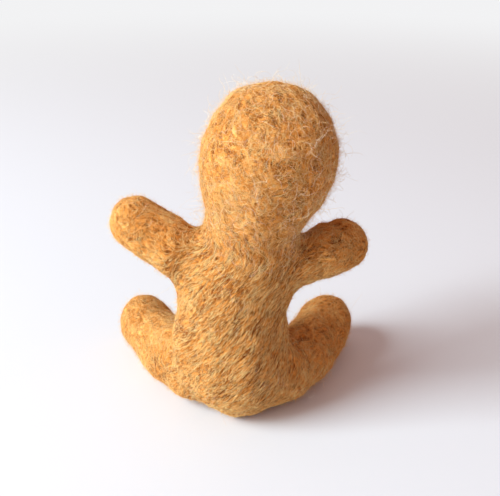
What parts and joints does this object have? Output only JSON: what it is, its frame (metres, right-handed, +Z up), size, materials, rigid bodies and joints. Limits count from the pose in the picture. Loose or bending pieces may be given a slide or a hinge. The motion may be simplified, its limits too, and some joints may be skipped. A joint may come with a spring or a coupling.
{
  "type": "felted wool doll",
  "caption": "Seated needle-felted wool doll with a drop-shaped head, stubby arms and splayed legs that flex at their felted joins; sits on a flat seat.",
  "frame": {"origin": "middle of the flat pressed seat, on the surface that the doll sits on", "axes": "+Z up, +Y the way the doll faces, +X towards its right hand"},
  "size_m": [0.0705, 0.0547, 0.0882],
  "materials": {
    "coat_wool": "matted dyed wool, camel brown",
    "core_wool": "firm undyed core wool",
    "collar_wool": "loose dyed wool needled over a join"
  },
  "bodies": {
    "torso": {"torso_coat": "coat_wool", "torso_core": "core_wool", "neck_collar": "collar_wool", "shoulder_left_collar": "collar_wool", "shoulder_right_collar": "collar_wool", "hip_left_collar": "collar_wool", "hip_right_collar": "collar_wool"},
    "head": {"head_coat": "coat_wool", "head_core": "core_wool"},
    "arm_left": {"arm_left_coat": "coat_wool", "arm_left_core": "core_wool"},
    "arm_right": {"arm_right_coat": "coat_wool", "arm_right_core": "core_wool"},
    "leg_left": {"leg_left_coat": "coat_wool", "leg_left_core": "core_wool"},
    "leg_right": {"leg_right_coat": "coat_wool", "leg_right_core": "core_wool"}
  },
  "joints": [
    {"name": "neck_flex", "type": "hinge", "parent": "torso", "child": "head", "pos_m": [0.0015, 0, 0.05], "axis": [0, 1, 0], "range_deg": [-8, 8], "stiffness_Nm_per_rad": 0.05, "deforming": ["neck_collar"]},
    {"name": "shoulder_left_flex", "type": "hinge", "parent": "torso", "child": "arm_left", "pos_m": [-0.0155, 0, 0.0471], "axis": [0.4695, 0.8829, 0], "range_deg": [-15, 15], "stiffness_Nm_per_rad": 0.01, "deforming": ["shoulder_left_collar"]},
    {"name": "shoulder_right_flex", "type": "hinge", "parent": "torso", "child": "arm_right", "pos_m": [0.0155, 0, 0.0441], "axis": [0.4695, -0.8829, 0], "range_deg": [-15, 15], "stiffness_Nm_per_rad": 0.01, "deforming": ["shoulder_right_collar"]},
    {"name": "hip_left_flex", "type": "hinge", "parent": "torso", "child": "leg_left", "pos_m": [-0.013, 0.0052, 0.0098], "axis": [0.866, 0.5, 0], "range_deg": [-8, 15], "stiffness_Nm_per_rad": 0.02, "deforming": ["hip_left_collar"]},
    {"name": "hip_right_flex", "type": "hinge", "parent": "torso", "child": "leg_right", "pos_m": [0.013, 0.0028, 0.0098], "axis": [0.887, -0.4617, 0], "range_deg": [-8, 15], "stiffness_Nm_per_rad": 0.02, "deforming": ["hip_right_collar"]}
  ]
}
